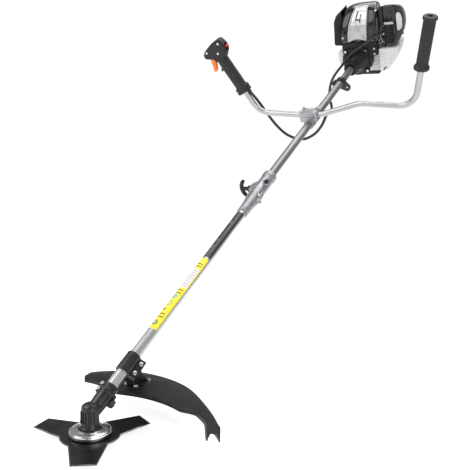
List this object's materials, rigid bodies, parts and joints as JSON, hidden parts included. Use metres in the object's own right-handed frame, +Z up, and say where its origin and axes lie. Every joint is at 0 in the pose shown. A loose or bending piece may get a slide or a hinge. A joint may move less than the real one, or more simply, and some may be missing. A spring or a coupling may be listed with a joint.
{
  "type": "brush cutter",
  "caption": "Petrol brush cutter with a bevel gear head, three-tooth blade, guard, two-piece pole, U-shaped handlebar with throttle grip and a small overhung engine.",
  "frame": {"origin": "centre of the harness eye, the hole in the hanger lug on the pole", "axes": "+Y level, from the blade towards the engine; +Z up, parallel to the blade axis; +X towards the operator's left hand"},
  "size_m": [0.7836, 1.7568, 1.2218],
  "materials": {
    "blade_steel": "dark rolled steel with a satin sheen",
    "cup_chrome": "turned and polished",
    "machined_steel": "machined",
    "bolt_zinc": "bright zinc plate",
    "head_black": "satin black paint on a casting",
    "pole_silver": "satin anodised",
    "pole_grey": "grey satin anodised",
    "cast_alloy": "shot-blasted casting",
    "bar_silver": "satin anodised",
    "engine_alloy": "as cast",
    "iron_grey": "machined cast iron",
    "black_plastic": "fine-grained moulded plastic",
    "gloss_black": "polished moulded plastic",
    "plate_silver": "silver satin paint",
    "trigger_orange": "smooth moulded plastic",
    "switch_red": "smooth moulded plastic",
    "grip_rubber": "ribbed soft rubber",
    "cable_rubber": "smooth sheath",
    "tank_white": "translucent blow-moulded plastic",
    "nylon_white": "moulded nylon",
    "plug_white": "glazed ceramic with a rubber cap",
    "rope_white": "braided nylon cord",
    "filter_foam": "open-cell foam",
    "muffler_black": "heat-resistant matt paint"
  },
  "bodies": {
    "main": {"gear_case": "head_black", "gear_bearings": "machined_steel", "head_bolts": "bolt_zinc", "lower_tube": "pole_silver", "shaft_bushes": "nylon_white", "guard": "black_plastic", "guard_bracket": "head_black", "guard_clamp_cap": "head_black", "coupling_body": "cast_alloy", "upper_tube": "pole_grey", "handle_saddle": "cast_alloy", "handle_cap": "cast_alloy", "clamp_bolts": "bolt_zinc", "throttle_cable": "cable_rubber", "hanger_clamp": "black_plastic", "clutch_housing": "black_plastic", "engine_bolts": "bolt_zinc", "piston": "engine_alloy", "cylinder": "engine_alloy", "crankcase": "engine_alloy", "fan_cover": "black_plastic", "spark_plug": "plug_white", "muffler": "muffler_black", "muffler_guard": "black_plastic", "engine_cover": "gloss_black", "cover_plate": "plate_silver", "carburettor": "engine_alloy", "air_cleaner_case": "black_plastic", "air_filter": "filter_foam", "fuel_tank": "tank_white", "engine_stand": "black_plastic", "starter_housing": "black_plastic"},
    "cutter": {"blade": "blade_steel", "blade_holder": "cup_chrome", "clamp_washer": "machined_steel", "blade_nut": "bolt_zinc", "output_spindle": "machined_steel", "output_gear": "iron_grey"},
    "drive_line": {"pinion_gear": "iron_grey", "lower_drive_shaft": "machined_steel", "upper_drive_shaft": "machined_steel", "clutch_drum": "machined_steel"},
    "crank": {"crankshaft": "machined_steel", "flywheel": "engine_alloy", "clutch_shoes": "iron_grey"},
    "knob": {"coupling_knob": "black_plastic"},
    "pin": {"lock_pin": "black_plastic"},
    "handle": {"handlebar": "bar_silver", "plain_grip": "grip_rubber", "throttle_housing_front": "black_plastic", "throttle_housing_back": "black_plastic"},
    "trigger": {"throttle_trigger": "trigger_orange"},
    "lockout": {"lockout_lever": "black_plastic"},
    "switch": {"stop_switch": "switch_red"},
    "lever": {"throttle_lever": "bolt_zinc"},
    "filter_lid": {"air_cleaner_cover": "gloss_black"},
    "cap": {"fuel_cap": "black_plastic"},
    "pulley": {"starter_pulley": "nylon_white"},
    "pull": {"starter_handle": "black_plastic", "starter_rope": "rope_white"}
  },
  "joints": [
    {"name": "blade_spin", "type": "hinge", "parent": "main", "child": "cutter", "pos_m": [-0.023, -1.3273, -0.80463], "axis": [0, 0, 1], "continuous": true},
    {"name": "shaft_spin", "type": "hinge", "parent": "main", "child": "drive_line", "pos_m": [-0.023, -1.3273, -0.80463], "axis": [0, 0.848, 0.5299], "continuous": true},
    {"name": "crank_spin", "type": "hinge", "parent": "main", "child": "crank", "pos_m": [-0.023, 0.19919, 0.14923], "axis": [0, 0.848, 0.5299], "continuous": true},
    {"name": "knob_turn", "type": "hinge", "parent": "main", "child": "knob", "pos_m": [-0.023, -0.6302, -0.36903], "axis": [1, 0, 0], "continuous": true},
    {"name": "pin_pull", "type": "slide", "parent": "main", "child": "pin", "axis": [0.7071, -0.3747, 0.5997], "range_m": [0, 0.006], "stiffness_N_per_m": 600, "springref_m": -0.004},
    {"name": "handlebar_tilt", "type": "hinge", "parent": "main", "child": "handle", "pos_m": [-0.023, -0.28807, -0.12399], "axis": [1, 0, 0], "range_deg": [-25, 25], "deforming": ["throttle_cable"]},
    {"name": "trigger_squeeze", "type": "hinge", "parent": "handle", "child": "trigger", "pos_m": [-0.34516, -0.41006, 0.07124], "axis": [0, -0.848, -0.5299], "range_deg": [0, 12], "stiffness_Nm_per_rad": 0.3, "springref_deg": -11.46},
    {"name": "lockout_press", "type": "hinge", "parent": "handle", "child": "lockout", "pos_m": [-0.3106, -0.38817, 0.03621], "axis": [0, -0.848, -0.5299], "range_deg": [0, 10], "stiffness_Nm_per_rad": 0.1, "springref_deg": -11.46},
    {"name": "switch_slide", "type": "slide", "parent": "handle", "child": "switch", "axis": [-0.4203, -0.4808, 0.7695], "range_m": [0, 0.005]},
    {"name": "lever_turn", "type": "hinge", "parent": "main", "child": "lever", "pos_m": [0.045, 0.16072, 0.23721], "axis": [0, 0.5299, -0.848], "range_deg": [0, 48]},
    {"name": "filter_lid_off", "type": "slide", "parent": "main", "child": "filter_lid", "axis": [1, 0, 0], "range_m": [0, 0.08]},
    {"name": "cap_turn", "type": "hinge", "parent": "main", "child": "cap", "pos_m": [0.082, 0.27551, 0.19692], "axis": [0, 0.848, 0.5299], "continuous": true},
    {"name": "pulley_turn", "type": "hinge", "parent": "main", "child": "pulley", "pos_m": [-0.023, 0.27382, 0.19586], "axis": [0, 0.848, 0.5299], "range_deg": [0, 900]},
    {"name": "starter_pull", "type": "slide", "parent": "main", "child": "pull", "axis": [-0.9, -0.231, 0.3697], "range_m": [0, 0.4], "stiffness_N_per_m": 12, "springref_m": -0.3, "deforming": ["starter_rope"]}
  ],
  "couplings": [
    {"joint": "shaft_spin", "follows": "blade_spin", "ratio": -1.375},
    {"joint": "lever_turn", "follows": "trigger_squeeze", "ratio": 4},
    {"joint": "pulley_turn", "follows": "starter_pull", "rad_per_m": 38.46}
  ]
}
